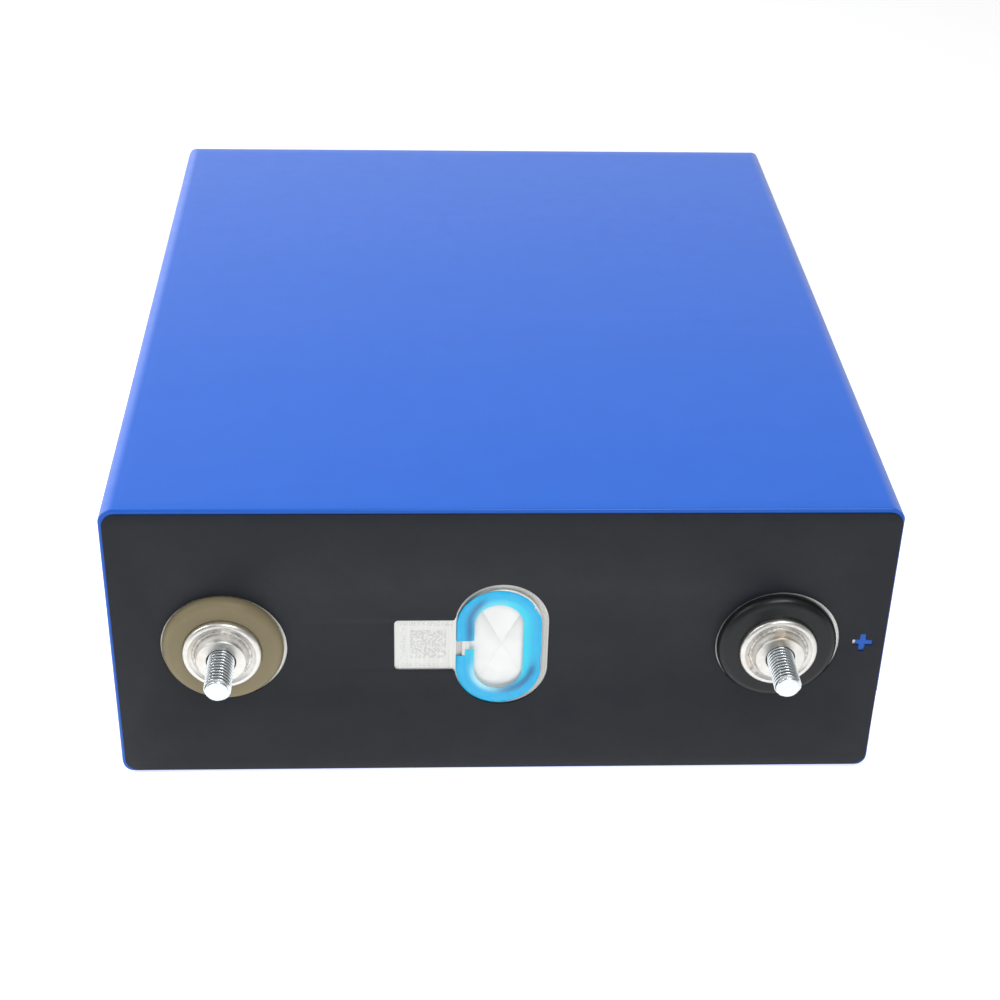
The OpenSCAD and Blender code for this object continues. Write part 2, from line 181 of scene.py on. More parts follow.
# Vent
VENT_SEAT_W = 14.4
VENT_SEAT_H = 25.6
VENT_HOLE_W = 12.0
VENT_HOLE_H = 23.2
SEAT_BEVEL = 0.15
DISC_RISE = 0.42
DISC_SCORE = 0.05
DISC_FRONT = box_mm("vent_disc")[0].y
DISC_BACK = box_mm("vent_disc")[1].y
GUARD_AT = ((ring_low.x + ring_high.x) / 2, (ring_low.z + ring_high.z) / 2 - MID_Z)
GUARD_R = (ring_high.x - ring_low.x) / 2
GUARD_RUN = (ring_high.z - ring_low.z) / 2 - GUARD_R
GUARD_QUARTER = math.pi / 2 * GUARD_R
GUARD_LENGTH = 4 * (GUARD_RUN + GUARD_QUARTER)
GUARD_WINDOW_R = 5.5
GUARD_T = 0.12
CLEAR_T = 0.08
CLEAR_LIFT = 0.005
GUARD_SAG = 0.28
# Rings pressed into the vent film: distance from its middle line, half width, height
GUARD_RINGS = [(8.55, 0.16, 0.06), (7.55, 0.22, 0.07)]
# Painted highlights of the film, pale glow patches: angle and spread, distance from the middle line
# and spread, strength
GUARD_PAINTED_GLOW = [(-1.95, 0.42, 5.9, 0.8, 0.9), (1.75, 0.5, 5.6, 1.2, 0.35)]
# The film's torn stretch, as stations along its outline
TEAR_FROM, TEAR_TO = 0.352, 0.392
# The gap on the film's left: its upper and lower end, and the step in the lower end
GAP_TOP, GAP_FOOT = 1.85, -2.25
GAP_STEP_R, GAP_STEP = 7.6, 1.7

# Etched marks on the lid: x from and to, z from and to, dot size, share of dark dots, seed
ETCHED = [
    (-20.45, -12.4, 32.3, 40.1, 0.30, 0.55, 1.0),
    (-23.3, -11.0, 41.2, 42.5, 0.22, 0.42, 2.0),
    (-22.8, -12.2, 30.1, 30.9, 0.20, 0.22, 3.0),
    (-22.8, -21.6, 31.4, 40.8, 0.22, 0.20, 4.0),
]
ETCHED_STRENGTH = 0.30


# ---- Numbers ----

def bell(away, spread):
    """1 at no distance, falling to 0 within a few spreads."""
    return math.exp(-(away / spread) ** 2)


def ramp(value, low, high):
    """0 up to low, 1 from high on, and a straight line between them."""
    return min(max((value - low) / (high - low), 0), 1)


# ---- Outlines ----

def arc(centre, radius, start, end, steps):
    """Points of an arc, with both of its ends. Angles are in degrees."""
    points = []
    for i in range(steps + 1):
        a = math.radians(start + (end - start) * i / steps)
        points.append((centre[0] + radius * math.cos(a), centre[1] + radius * math.sin(a)))
    return points


def circle(centre, radius):
    return arc(centre, radius, 0, 360, 96)[:-1]


def stadium(width, height):
    """Upright slot with round ends."""
    r = width / 2
    run = height / 2 - r
    return arc((0, run), r, 0, 180, 40) + arc((0, -run), r, 180, 360, 40)


def subdivide(start, end, steps):
    """Points between two points, without either of them."""
    return [(start[0] + (end[0] - start[0]) * i / steps, start[1] + (end[1] - start[1]) * i / steps)
            for i in range(1, steps)]


def rounded_rect(width, height, radius):
    """Anticlockwise from the upper end of the right-hand side."""
    w, h = width / 2 - radius, height / 2 - radius
    return (arc((w, h), radius, 0, 90, 10) + arc((-w, h), radius, 90, 180, 10)
            + arc((-w, -h), radius, 180, 270, 10) + arc((w, -h), radius, 270, 360, 10))


def round_corners(points, radii, steps=6):
    """The closed outline, with an arc of the given radius at each corner whose radius isn't 0."""
    result = []
    count = len(points)
    for i, corner in enumerate(points):
        if radii[i] == 0:
            result.append(corner)
            continue
        p = Vector(corner)
        to_last = (Vector(points[i - 1]) - p).normalized()
        to_next = (Vector(points[(i + 1) % count]) - p).normalized()
        half = to_last.angle(to_next) / 2
        middle = p + (to_last + to_next).normalized() * radii[i] / math.sin(half)
        first = p + to_last * radii[i] / math.tan(half) - middle
        last = p + to_next * radii[i] / math.tan(half) - middle
        for k in range(steps + 1):
            t = k / steps
            spoke = (first * (1 - t) + last * t).normalized() * radii[i]
            result.append(tuple(middle + spoke))
    return result


def grown(outline, distance):
    """The outline moved outwards by a distance, or inwards by a negative one."""
    count = len(outline)
    area = sum(outline[i - 1][0] * outline[i][1] - outline[i][0] * outline[i - 1][1]
               for i in range(count))
    turn = 1 if area > 0 else -1
    result = []
    for i, point in enumerate(outline):
        along = Vector(outline[(i + 1) % count]) - Vector(outline[i - 1])
        outward = Vector((along.y, -along.x)).normalized() * turn * distance
        result.append((point[0] + outward.x, point[1] + outward.y))
    return result


# ---- Meshes ----

def add_piece(name, verts, faces, slot, node, sharp=35):
    """Makes a closed piece from millimetre points, in place of a CAD node. Edges whose faces meet
    at more than sharp degrees stay hard."""
    mesh = bpy.data.meshes.new(name)
    mesh.from_pydata([(x * MM, y * MM, z * MM) for x, y, z in verts], [], faces)
    work = bmesh.new()
    work.from_mesh(mesh)
    bmesh.ops.remove_doubles(work, verts=work.verts, dist=0.00000005)
    bmesh.ops.recalc_face_normals(work, faces=work.faces)
    work.to_mesh(mesh)
    work.free()
    mesh.shade_smooth()
    mesh.set_sharp_from_angle(angle=math.radians(sharp))
    mesh.materials.append(MATERIALS[slot])
    piece = bpy.data.objects.new(name, mesh)
    bpy.context.scene.collection.objects.link(piece)
    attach(piece, "root")
    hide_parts(node)
    return piece


def store(piece, name, value_at):
    """Stores a number at each vertex: value_at(x, z) takes millimetres, z from the middle plane."""
    layer = piece.data.attributes.new(name, "FLOAT", "POINT")
    for i, vertex in enumerate(piece.data.vertices):
        layer.data[i].value = value_at(vertex.co.x / MM, vertex.co.z / MM - MID_Z)


def strip(first, second, count):
    """Quads between two closed rings of vertices, given by each ring's first index."""
    return [(first + i, first + (i + 1) % count, second + (i + 1) % count, second + i)
            for i in range(count)]


def slab_faces(rows, columns):
    """Faces of a thin slab between two grids of vertices: the front grid comes first, row by row,
    and then the back one. A rim joins them."""
    faces = []
    back = rows * columns
    for i in range(rows - 1):
        for j in range(columns - 1):
            a = i * columns + j
            quad = (a, a + 1, a + columns + 1, a + columns)
            faces.append(quad)
            faces.append(tuple(back + k for k in reversed(quad)))
    rim = list(range(columns))
    rim += [i * columns + columns - 1 for i in range(1, rows)]
    rim += [(rows - 1) * columns + j for j in range(columns - 2, -1, -1)]
    rim += [i * columns for i in range(rows - 2, 0, -1)]
    for a, b in zip(rim, rim[1:] + rim[:1]):
        faces.append((a, b, back + b, back + a))
    return faces


def wall(verts, faces, rings):
    """Adds the wall through (outline, y) rings, from front to back. Gives its two end loops, each
    as the index of its first vertex and its outline."""
    starts = []
    for outline, y in rings:
        starts.append(len(verts))
        verts += [(x, y, MID_Z + z) for x, z in outline]
    for a, b in zip(starts, starts[1:]):
        faces += strip(a, b, len(rings[0][0]))
    return (starts[0], rings[0][0]), (starts[-1], rings[-1][0])


def flat_face(faces, loops):
    """Adds the flat face inside the first loop and outside the others."""
    index = [start + i for start, outline in loops for i in range(len(outline))]
    polygon = [[Vector((x, z, 0)) for x, z in outline] for start, outline in loops]
    faces += [tuple(index[i] for i in face) for face in tessellate_polygon(polygon)]


def plate(boundaries):
    """Vertices and faces of a flat piece. Each boundary is a list of (outline, y) rings from the
    front face to the back face: the first is the outer edge, and the others are holes."""
    verts, faces = [], []
    ends = [wall(verts, faces, rings) for rings in boundaries]
    flat_face(faces, [front for front, back in ends])
    flat_face(faces, [back for front, back in ends])
    return verts, faces


def edge_rings(outline, y_front, y_back, bevel, outward=1):
    """A boundary whose front corner is rounded off. outward is -1 at a hole."""
    return [(grown(outline, -outward * bevel), y_front),
            (grown(outline, -outward * bevel * 0.3), y_front + bevel * 0.3),
            (outline, y_front + bevel),
            (outline, y_back)]


def lathe(profile, side, segments, shape=None):
    """Vertices and faces of a turned piece on a terminal's axis. shape(radius, height, angle) may
    move each point."""
    verts, faces, rows = [], [], []
    for radius, height in profile:
        rows.append(len(verts))
        for j in range(segments):
            angle = 2 * math.pi * j / segments
            r, h = shape(radius, height, angle) if shape else (radius, height)
            verts.append((AXIS_X[side] + r * math.cos(angle), LID_FRONT - h,
                          MID_Z + r * math.sin(angle)))
    for a, b in zip(rows, rows[1:] + rows[:1]):
        faces += strip(a, b, segments)
    return verts, faces


def capped_lathe(profile, side, segments, shape):
    """A turned piece without a hole, closed by a flat cap at both ends of its profile."""
    verts, faces = lathe(profile, side, segments, shape)
    faces = faces[:-segments]
    last = (len(profile) - 1) * segments
    faces.append(tuple(range(segments)))
    faces.append(tuple(range(last, last + segments)))
    return verts, faces


# ---- Materials ----

def new_material(name, colour, roughness, metallic=0.0, specular=0.5):
    material = bpy.data.materials.new(name)
    material.use_nodes = True
    shader = material.node_tree.nodes["Principled BSDF"]
    shader.inputs["Base Color"].default_value = (*colour, 1)
    shader.inputs["Roughness"].default_value = roughness
    shader.inputs["Metallic"].default_value = metallic
    shader.inputs["Specular IOR Level"].default_value = specular
    return material, shader


def node(material, kind, **inputs):
    made = material.node_tree.nodes.new("ShaderNode" + kind)
    for key, value in inputs.items():
        made.inputs[key].default_value = value
    return made


def link(material, source, target):
    material.node_tree.links.new(source, target)


def position(material, stretch=(1, 1, 1)):
    """Place on the piece in millimetres, scaled along each axis."""
    coordinates = node(material, "TexCoord")
    mapping = node(material, "Mapping")
    mapping.inputs["Scale"].default_value = [s / MM for s in stretch]
    link(material, coordinates.outputs["Object"], mapping.inputs["Vector"])
    return mapping.outputs["Vector"]


def noise_at(material, size, stretch=(1, 1, 1), detail=3.0):
    """Noise whose blobs are about size millimetres across."""
    texture = node(material, "TexNoise", Scale=1 / size, Detail=detail)
    link(material, position(material, stretch), texture.inputs["Vector"])
    return texture.outputs["Fac"]


def mapped(material, value, from_low, from_high, to_low, to_high):
    ranges = node(material, "MapRange")
    for key, number in (("From Min", from_low), ("From Max", from_high),
                        ("To Min", to_low), ("To Max", to_high)):
        ranges.inputs[key].default_value = number
    link(material, value, ranges.inputs["Value"])
    return ranges.outputs["Result"]


def drift(material, size, low=0, high=1, stretch=(1, 1, 1)):
    """A number that drifts between two values over about size millimetres."""
    return mapped(material, noise_at(material, size, stretch), 0.3, 0.7, low, high)


def maths(material, operation, first, second):
    made = node(material, "Math")
    made.operation = operation
    for socket, value in zip(made.inputs, (first, second)):
        if isinstance(value, (int, float)):
            socket.default_value = value
        else:
            link(material, value, socket)
    return made.outputs[0]


def mix_colour(material, factor, first, second):
    mix = node(material, "Mix")
    mix.data_type = "RGBA"
    link(material, factor, mix.inputs["Factor"])
    colour_inputs = [s for s in mix.inputs if s.type == "RGBA"]
    for socket, value in zip(colour_inputs, (first, second)):
        if isinstance(value, tuple):
            socket.default_value = (*value, 1)
        else:
            link(material, value, socket)
    return next(s for s in mix.outputs if s.type == "RGBA")


def add_bump(material, shader, height, depth):
    """Bump whose full range is depth millimetres."""
    bump = node(material, "Bump", Strength=1.0, Distance=depth * MM)
    link(material, height, bump.inputs["Height"])
    link(material, bump.outputs["Normal"], shader.inputs["Normal"])


def attribute(material, name):
    """A number stored at each vertex of the mesh."""
    made = node(material, "Attribute")
    made.attribute_name = name
    return made.outputs["Fac"]


def mottle(material, shader, light, dark, size, stretch=(1, 1, 1), layers=()):
    """Colour that drifts between two tones, and goes over to the colour of each (attribute name,
    colour) layer where that attribute is high."""
    colour = mix_colour(material, drift(material, size, stretch=stretch), light, dark)
    for name, layer in layers:
        colour = mix_colour(material, attribute(material, name), colour, layer)
    link(material, colour, shader.inputs["Base Color"])


def vary_roughness(material, shader, low, high, size, stretch=(1, 1, 1)):
    link(material, drift(material, size, low, high, stretch), shader.inputs["Roughness"])


def finish(material, shader, tones, gloss, grain, stretch=(1, 1, 1), layers=()):
    """Gives a material its two tones and their size, its lowest and highest roughness and their
    size, and the size and depth of its grain."""
    mottle(material, shader, *tones, stretch, layers)
    vary_roughness(material, shader, *gloss, stretch)
    add_bump(material, shader, noise_at(material, grain[0], stretch), grain[1])
    return material


def plastic(name, light, dark, roughness, specular=0.5):
    """Moulded plastic: slight drift in tone, fine grain, uneven gloss."""
    material, shader = new_material(name, light, roughness, specular=specular)
    gloss = (roughness - 0.05, roughness + 0.06, 2.5)
    return finish(material, shader, (light, dark, 6.0), gloss, (0.35, 0.01))


def metal(name, light, dark, roughness, stretch=(1, 1, 1)):
    """Bare metal with fine marks, drawn out along the axes where stretch is small."""
    material, shader = new_material(name, light, roughness, metallic=1.0)
    gloss = (roughness - 0.06, roughness + 0.08, 0.8)
    return finish(material, shader, (light, dark, 2.0), gloss, (0.4, 0.004), stretch)


def film_blue():
    """Polyester wrap: even deep blue, satin, with a faint orange-peel surface."""
    material, shader = new_material("film_blue", (0.002, 0.108, 0.58), 0.32, specular=0.42)
    mottle(material, shader, (0.002, 0.106, 0.57), (0.003, 0.111, 0.59), 9.0)
    vary_roughness(material, shader, 0.29, 0.35, 4.0)
    add_bump(material, shader, noise_at(material, 2.6, detail=1.0), 0.006)
    return material


def sheet_black():
    """Matt black insulating sheet with a fine leathery grain."""
    material, shader = new_material("sheet_black", (0.006, 0.009, 0.015), 0.45, specular=0.30)
    tones = ((0.005, 0.008, 0.014), (0.008, 0.011, 0.017), 7.0)
    return finish(material, shader, tones, (0.40, 0.48, 1.5), (0.28, 0.012))


def random_cells(material, size, seed):
    """A random number for each square cell of the lid's face."""
    scaled = position(material, (1 / size, 0, 1 / size))
    snapped = node(material, "VectorMath")
    snapped.operation = "FLOOR"
    link(material, scaled, snapped.inputs[0])
    dice = node(material, "TexWhiteNoise")
    dice.noise_dimensions = "4D"
    dice.inputs["W"].default_value = seed
    link(material, snapped.outputs[0], dice.inputs["Vector"])
    return dice.outputs["Value"]


def in_range(material, value, low, high):
    above = maths(material, "GREATER_THAN", value, low)
    below = maths(material, "LESS_THAN", value, high)
    return maths(material, "MULTIPLY", above, below)


def lid_metal():
    """Brushed aluminium plate, with a generic field of etched dots beside the vent, and painted
    shade on the sloping floor of the trough round the vent.
    """
    material, shader = new_material("lid_metal", (0.80, 0.80, 0.79), 0.45, metallic=0.85)
    brushed = (1, 1, 0.05)
    tone = drift(material, 0.5, stretch=brushed)
    plain = mix_colour(material, tone, (0.76, 0.765, 0.74), (0.68, 0.685, 0.66))
    place = node(material, "SeparateXYZ")
    link(material, position(material), place.inputs[0])
    x, z = place.outputs["X"], place.outputs["Z"]
    marks = None
    for x_low, x_high, z_low, z_high, size, share, seed in ETCHED:
        inside = maths(material, "MULTIPLY", in_range(material, x, x_low, x_high),
                       in_range(material, z, z_low, z_high))
        dots = maths(material, "LESS_THAN", random_cells(material, size, seed), share)
        field = maths(material, "MULTIPLY", inside, dots)
        marks = field if marks is None else maths(material, "MAXIMUM", marks, field)
    faint = maths(material, "MULTIPLY", marks, ETCHED_STRENGTH)
    grain = mapped(material, noise_at(material, 0.3), 0.35, 0.65, 0.45, 0.85)
    # Painted shade: the floor of the trough round the vent is greyed, broken up by a fine grain
    ring_press_and_painted_trough_shade = maths(material, "MULTIPLY", attribute(material, "ring_press_and_painted_trough_shade"), grain)
    marked = mix_colour(material, faint, plain, (0.30, 0.30, 0.30))
    colour = mix_colour(material, ring_press_and_painted_trough_shade, marked, (0.46, 0.45, 0.43))
    link(material, colour, shader.inputs["Base Color"])
    vary_roughness(material, shader, 0.40, 0.52, 0.4, brushed)
    add_bump(material, shader, noise_at(material, 0.25, brushed), 0.006)
    return material


def terminal_metal():
    """Turned aluminium, with the burn marks and the heat tint that the welding left."""
    material, shader = new_material("terminal_metal", (0.78, 0.76, 0.73), 0.34, metallic=1.0)
    tones = ((0.83, 0.82, 0.785), (0.74, 0.73, 0.695), 1.6)
    layers = (("tint", (0.60, 0.42, 0.24)), ("stain", (0.12, 0.11, 0.11)))
    return finish(material, shader, tones, (0.30, 0.42, 0.6), (0.3, 0.003), layers=layers)


def weld_metal():
    """Laser weld: dull grey beads with sooty patches."""
    material, shader = new_material("weld_metal", (0.72, 0.71, 0.69), 0.42, metallic=1.0)
    tones = ((0.82, 0.81, 0.79), (0.46, 0.44, 0.42), 0.9)
    return finish(material, shader, tones, (0.34, 0.55, 0.5), (0.15, 0.01))


def stud_steel():
    """Zinc-plated steel: cool and bright on the crests, with painted shade at the root of the
    thread, where it is made dark, rough and not metallic.
    """
    material, shader = new_material("stud_steel", (0.74, 0.79, 0.82), 0.22, 1.0, 0.2)
    # Painted shade: the thread's roots are coloured dark and lose their metal sheen
    mottle(material, shader, (0.86, 0.90, 0.92), (0.78, 0.84, 0.87), 0.8,
           layers=(("groove", (0.025, 0.045, 0.055)),))
    groove = attribute(material, "groove")
    link(material, mapped(material, groove, 0, 1, 1, 0), shader.inputs["Metallic"])
    link(material, mapped(material, groove, 0, 1, 0.20, 0.60), shader.inputs["Roughness"])
    add_bump(material, shader, noise_at(material, 0.3), 0.001)
    return material


def vent_metal():
    """Thin pressed aluminium, almost white, with painted grey shade along the folds and on the side
    facets.
    """
    material, shader = new_material("vent_metal", (0.93, 0.93, 0.92), 0.5, metallic=0.35)
    tones = ((0.95, 0.95, 0.94), (0.91, 0.91, 0.905), 3.0)
    # Painted shade and reflection: grey along the disc's folds and on its side facets
    layers = (("painted_fold_shade", (0.42, 0.42, 0.42)),)
    return finish(material, shader, tones, (0.45, 0.55, 1.0), (0.3, 0.003), layers=layers)


def guard_film(name, light, dark, free, alpha_low, alpha_high, roughness):
    """Adhesive film, glossy and partly see-through. Its tone carries painted light: a lighter
    painted reflection where it sags free of the lid, painted shade where it bends into the seat,
    and pale painted highlights."""
    material, shader = new_material(name, light, roughness, specular=0.16)
    # Painted light: a painted reflection where the film sags, painted shade on its slope and
    # painted highlights
    mottle(material, shader, light, dark, 2.5, layers=(
        ("free", free), ("painted_slope_shade", (0.002, 0.17, 0.44)), ("painted_glow", (0.55, 0.92, 1.0))))
    link(material, drift(material, 3.0, alpha_low, alpha_high), shader.inputs["Alpha"])
    add_bump(material, shader, noise_at(material, 1.2), 0.010)
    return material


# Moulded plastics, coatings and thin films: light tone, dark tone, roughness and, where it isn't
# the usual 0.5, specular level
PLASTICS = {
    "ring_black": ((0.004, 0.005, 0.007), (0.007, 0.008, 0.010), 0.34, 0.40),
    "ring_tan": ((0.265, 0.222, 0.132), (0.245, 0.205, 0.120), 0.38, 0.28),
    "seal_rubber": ((0.012, 0.012, 0.012), (0.02, 0.02, 0.02), 0.65),
    "inner_plastic": ((0.03, 0.03, 0.032), (0.045, 0.045, 0.047), 0.5),
    "anode_coating": ((0.020, 0.018, 0.017), (0.035, 0.030, 0.028), 0.8),
    "cathode_coating": ((0.045, 0.045, 0.05), (0.06, 0.06, 0.066), 0.85),
    "separator_film": ((0.86, 0.86, 0.84), (0.80, 0.80, 0.79), 0.6),
    "tape_green": ((0.06, 0.32, 0.11), (0.05, 0.27, 0.09), 0.35),
    "bag_film": ((0.50, 0.66, 0.84), (0.44, 0.60, 0.80), 0.36),
}
# Bare metals: light tone, dark tone, roughness and, where the marks have a direction, their stretch
METALS = {
    "can_metal": ((0.80, 0.80, 0.81), (0.70, 0.70, 0.71), 0.35, (1, 0.05, 1)),
    "copper_metal": ((0.90, 0.50, 0.33), (0.74, 0.36, 0.22), 0.36),
    "foil_aluminium": ((0.86, 0.86, 0.86), (0.76, 0.76, 0.76), 0.36, (1, 0.08, 1)),
}
# Vent films: both tones where stuck down, tone of the painted reflection where the film sags free,
# range of alpha, roughness
GUARDS = {
    "guard_blue": ((0.001, 0.55, 0.95), (0.001, 0.50, 0.91), (0.015, 0.82, 1.0), 0.97, 0.99, 0.25),
    "guard_clear": ((0.92, 0.97, 1.0), (0.88, 0.94, 0.98), (0.92, 0.97, 1.0), 0.03, 0.05, 0.12),
}
MATERIALS = {
    "film_blue": film_blue(),
    "sheet_black": sheet_black(),
    "lid_metal": lid_metal(),
    "weld_metal": weld_metal(),
    "terminal_metal": terminal_metal(),
    "stud_steel": stud_steel(),
    "vent_metal": vent_metal(),
}
for make, looks in ((plastic, PLASTICS), (metal, METALS), (guard_film, GUARDS)):
    MATERIALS |= {slot: make(slot, *look) for slot, look in looks.items()}


def paint_cad_nodes():
    """Gives every CAD node the material of its slot."""
    for part in frame["record"]["subparts"]:
        mesh = frame["nodes"][part["node"]].data
        mesh.materials.clear()
        mesh.materials.append(MATERIALS[part["material_slot"]])


# ---- Films and sheets ----

def film_relief(x, y, z):
    """Depth by which the film's outer face lies below its flat, in millimetres."""
    long_waves = noise.noise(Vector((x, y, z)) / 38)
    short_waves = noise.noise(Vector((x, y, z + 90)) / 13)
    depth = RELIEF + RELIEF_SWING * (long_waves + 0.5 * short_waves)
    on_seam_side = x > WIDTH / 2 - 0.5
    if on_seam_side and z - MID_Z < SEAM_Z:
        depth += SEAM_STEP * min(1, (z - EDGE_R) / 8)
    return min(max(depth, 0), RELIEF_LIMIT)


def cut_back(value, limit):
    """A coordinate brought back to the limit, and a trace further where it was further out."""
    over = abs(value) - limit
    return value if over <= 0 else math.copysign(limit - CORNER_EASE * over, value)


def film_outline(inset, offset):
    """Section of the film's face that lies offset below its outside. Towards the ends it is the
    full section cut square to the inset, as on the can. Its points keep the same order at every
    inset, for a loft."""
    on_end = inset > BASE_R
    radius = LIP_R if on_end else EDGE_R - offset
    shrink = inset if on_end else offset
    w, h = WIDTH / 2 - shrink, THICKNESS / 2 - shrink
    cx, cz = w - radius, h - radius
    seam_low, seam_high = (w, SEAM_Z - SEAM_HALF), (w, SEAM_Z + SEAM_HALF)
    outline = arc((cx, cz), radius, 0, 90, 20) + subdivide((cx, h), (-cx, h), 58)
    outline += arc((-cx, cz), radius, 90, 180, 20) + subdivide((-w, cz), (-w, -cz), 24)
    outline += arc((-cx, -cz), radius, 180, 270, 20) + subdivide((-cx, -h), (cx, -h), 58)
    outline += arc((cx, -cz), radius, 270, 360, 20) + subdivide((w, -cz), seam_low, 8)
    outline += [seam_low, seam_high] + subdivide(seam_high, (w, cz), 16)
    if on_end:
        return outline
    return [(cut_back(x, WIDTH / 2 - inset), cut_back(z, THICKNESS / 2 - inset))
            for x, z in outline]


def film_side(offset, y_front, y_back, rim_r, base_r):
    """(inset, y) stations of one face of the film, from the lip over the lid to the fold."""
    stations = [(LIP, y_front), (3.0, y_front), (offset + rim_r, y_front)]
    for i in range(1, 7):
        a = math.radians(90 * i / 7)
        stations.append((offset + rim_r * (1 - math.sin(a)), y_front + rim_r * (1 - math.cos(a))))
    run = 68
    low, high = y_front + rim_r, y_back - base_r
    stations += [(offset, low + (high - low) * i / run) for i in range(run + 1)]
    for i in range(1, 9):
        a = math.radians(90 * i / 8)
        stations.append((offset + base_r * (1 - math.cos(a)), high + base_r * math.sin(a)))
    return stations + [(LIP, y_back)]


def wrap_film():
    """Shell of film round the can, with a lip over the lid, a fold over the base and a seam."""
    outer = film_side(0, LIP_FRONT, FOLD_BACK, RIM_R, BASE_R)
    inner = film_side(FILM_T, LID_FRONT, CAN_BACK, RIM_R - FILM_T, BASE_R - FILM_T)
    verts, faces, rows = [], [], []
    stations = [(True, station) for station in outer]
    stations += [(False, station) for station in reversed(inner)]
    for is_outer, (inset, y) in stations:
        outline = film_outline(inset, 0 if is_outer else FILM_T)
        rows.append(len(verts))
        for x, z in outline:
            point = Vector((x, y, MID_Z + z))
            if is_outer and inset < BASE_R:
                core = Vector((min(max(x, EDGE_R - WIDTH / 2), WIDTH / 2 - EDGE_R), y,
                               min(max(MID_Z + z, EDGE_R), THICKNESS - EDGE_R)))
                inward = (core - point).normalized()
                point += inward * film_relief(*point) * (1 - inset / BASE_R)
            verts.append(tuple(point))
    count = len(film_outline(0, 0))
    for a, b in zip(rows, rows[1:] + rows[:1]):
        faces += strip(a, b, count)
    add_piece("film_wrap", verts, faces, "film_blue", "wrap_film")


def base_film():
    """Film over the base. The wrap's fold shows through it as a faint step."""
    margin = 2 * (BASE_R + BASE_MARGIN)
    outer = rounded_rect(WIDTH - margin, THICKNESS - margin, EDGE_R)
    fold = rounded_rect(WIDTH - 2 * LIP, THICKNESS - 2 * LIP, LIP_R)
    rings = [(grown(fold, -0.9), BASE_BACK - 0.05),
             (grown(fold, -0.3), BASE_BACK - 0.04),
             (grown(fold, 0.3), BASE_BACK - 0.01),
             (grown(outer, -0.05), BASE_BACK),
             (outer, BASE_BACK - 0.05),
             (outer, FOLD_BACK),
             (fold, FOLD_BACK),
             (fold, CAN_BACK)]
    add_piece("film_base", *plate([rings]), "film_blue", "base_film")


def vent_cutout():
    """The oval round the vent and the tab window beside it, as one outline."""
    r = VENT_CUT_W / 2
    run = VENT_CUT_H / 2 - r
    flare = math.degrees(math.asin((TAB_H / 2 - run) / r)) + 4.5
    upper = arc((0, run), r, 180 - flare, 0, 48)
    lower = arc((0, -run), r, 0, flare - 180, 48)
    half = TAB_H / 2
    window = [(TAB_X, -half), (TAB_X, half), (-r - 0.55, half), (-r - 0.2, half + 0.12)]
    outline = window + upper + lower + [(-r - 0.2, -half - 0.12), (-r - 0.55, -half)]
    radii = [TAB_R, TAB_R] + [0] * (len(outline) - 2)
    return round_corners(outline, radii)


def plus_outline():
    a, w, h = PLUS_ARM / 2, PLUS_W / 2, PLUS_H / 2
    points = [(w, -a), (w, a), (a, a), (a, h), (-a, h), (-a, a),
              (-w, a), (-w, -a), (-a, -a), (-a, -h), (a, -h), (a, -a)]
    soft = round_corners(points, [0.15, 0.15, 0, 0.15, 0.15, 0] * 2, 3)
    cos, sin = math.cos(PLUS_TILT), math.sin(PLUS_TILT)
    return [(PLUS_AT[0] + x * cos - z * sin, PLUS_AT[1] + x * sin + z * cos) for x, z in soft]


def lid_sheet():
    """Sheet whose rim lies on the film's lip, with the plus cut out of it, and whose middle lies on
    the lid. The step between them runs round the plus, whose left end reaches past the lip."""
    margin = (WIDTH - (sheet_high.x - sheet_low.x)) / 2
    edge = [(x + SHEET_SHIFT, z - SHEET_TRIM / 2) for x, z in
            rounded_rect(WIDTH - 2 * margin, THICKNESS - 2 * margin - SHEET_TRIM, SHEET_R)]
    lip_x = WIDTH / 2 - LIP
    notch_x, notch_z, notch_half = lip_x - PLUS_NOTCH[0], PLUS_AT[1] + 0.1, PLUS_NOTCH[1]
    step = rounded_rect(2 * lip_x, THICKNESS - 2 * LIP, LIP_R)
    step += [(lip_x, notch_z - notch_half), (notch_x, notch_z - notch_half),
             (notch_x, notch_z + notch_half), (lip_x, notch_z + notch_half)]

    verts, faces = [], []
    rim_front, rim_back = wall(verts, faces, edge_rings(edge, SHEET_FRONT, LIP_FRONT, SHEET_EDGE))
    step_front, step_back = wall(verts, faces, [(step, LIP_FRONT), (step, LID_FRONT)])
    plus = plus_outline()
    plus_front, plus_back = wall(verts, faces, [(plus, SHEET_FRONT), (plus, LIP_FRONT)])
    cutouts = [circle((AXIS_X[side] + x, z), CUTOUT_R) for side, (x, z) in SHEET_SLIP.items()]
    ends = [wall(verts, faces, edge_rings(cutout, SHEET_FRONT, LID_FRONT, SHEET_EDGE, -1))
            for cutout in cutouts + [vent_cutout()]]
    flat_face(faces, [rim_front, plus_front] + [front for front, back in ends])
    flat_face(faces, [rim_back, step_front, plus_back])
    flat_face(faces, [step_back] + [back for front, back in ends])
    add_piece("sheet_lid", verts, faces, "sheet_black", "lid_sheet")


# ---- Lid and vent ----

def slot_depth(width, height, x, z):
    """How far a point lies inside the edge of an upright slot round the vent."""
    run = (height - width) / 2
    return width / 2 - math.hypot(x, max(abs(z) - run, 0))


def painted_trough_shade_amount(x, z):
    """Painted shade of the lid: 1 on the sloping floor of the trough round the vent, but 0 beside
    the film's gap.
    """
    inside = slot_depth(VENT_CUT_W, VENT_CUT_H, x, z) - TROUGH_GAP
    beside_gap = x < 0 and abs(z) < 3.5
    return 1.0 if 0.04 < inside < 1.25 and not beside_gap else 0.0


